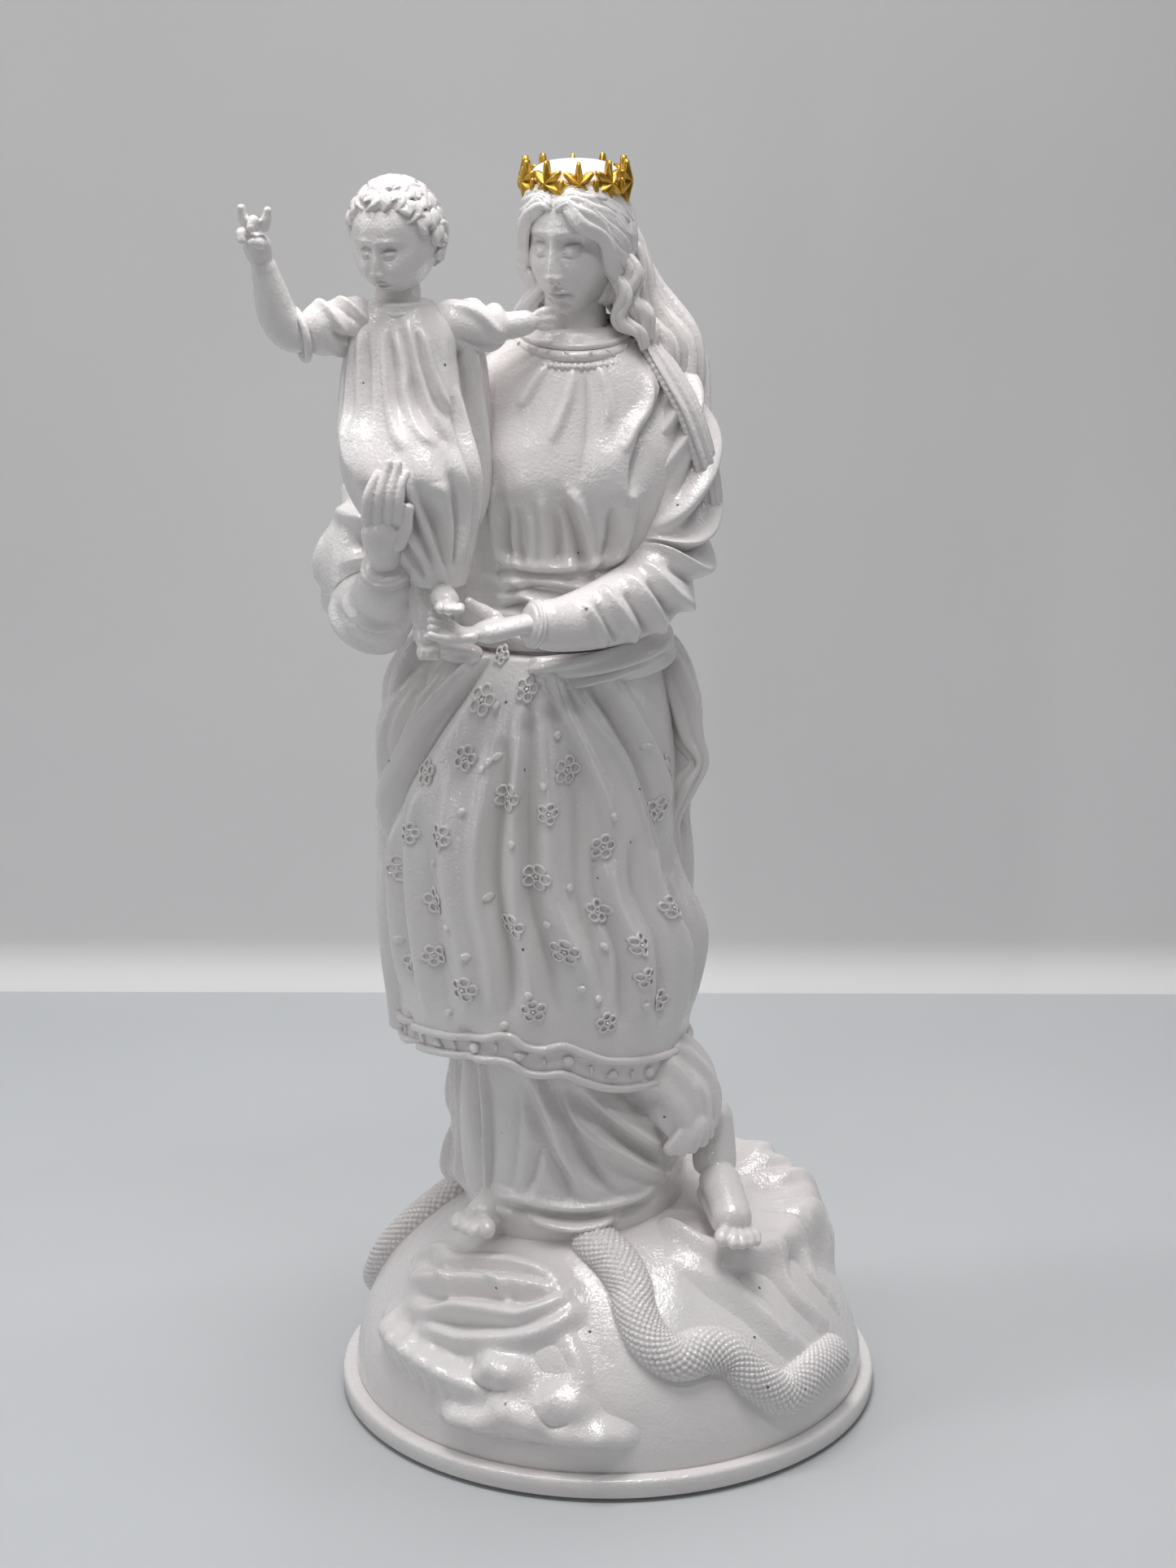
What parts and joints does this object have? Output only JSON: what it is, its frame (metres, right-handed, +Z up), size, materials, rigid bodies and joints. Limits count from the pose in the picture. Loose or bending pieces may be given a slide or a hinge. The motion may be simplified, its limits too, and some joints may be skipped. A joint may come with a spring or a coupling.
{
  "type": "madonna statue",
  "caption": "Standing robed mother holding a child on a round domed base with a serpent and clouds, with a lift-off star crown",
  "frame": {"origin": "middle of the underside of the felt, on the surface the statue stands on", "axes": "+Z up, -Y is the way the figure faces, +X is the figure's own left"},
  "size_m": [0.1449, 0.13, 0.2965],
  "materials": {
    "cast_white": "white gloss spray over cast resin, with a fine orange peel",
    "gold_paint": "gold paint with darker hollows",
    "pin_steel": "plain steel rod",
    "felt": "thin grey felt"
  },
  "bodies": {
    "statue": {"felt_pad": "felt", "plinth_disc": "cast_white", "globe_dome": "cast_white", "leaf_scrolls": "cast_white", "cloud_bank": "cast_white", "serpent_front": "cast_white", "serpent_rear": "cast_white", "stand_pin": "pin_steel", "left_foot": "cast_white", "right_foot": "cast_white", "under_robe": "cast_white", "mantle_skirt": "cast_white", "hem_braid": "cast_white", "mantle_drape": "cast_white", "waist_pin": "pin_steel", "bodice": "cast_white", "waist_sash": "cast_white", "collar_band": "cast_white", "left_sleeve": "cast_white", "right_sleeve": "cast_white", "left_hand": "cast_white", "right_hand": "cast_white", "neck_pin": "pin_steel", "mother_head": "cast_white", "hair_cap": "cast_white", "hair_locks": "cast_white", "child_robe": "cast_white", "child_pin": "pin_steel", "child_left_leg": "cast_white", "child_right_leg": "cast_white", "child_head": "cast_white", "child_right_sleeve": "cast_white", "child_right_forearm": "cast_white", "child_left_arm": "cast_white"},
    "crown": {"crown": "gold_paint"}
  },
  "joints": [
    {"name": "crown_lift", "type": "slide", "parent": "statue", "child": "crown", "axis": [0, 0, 1], "range_m": [0, 0.03]}
  ]
}
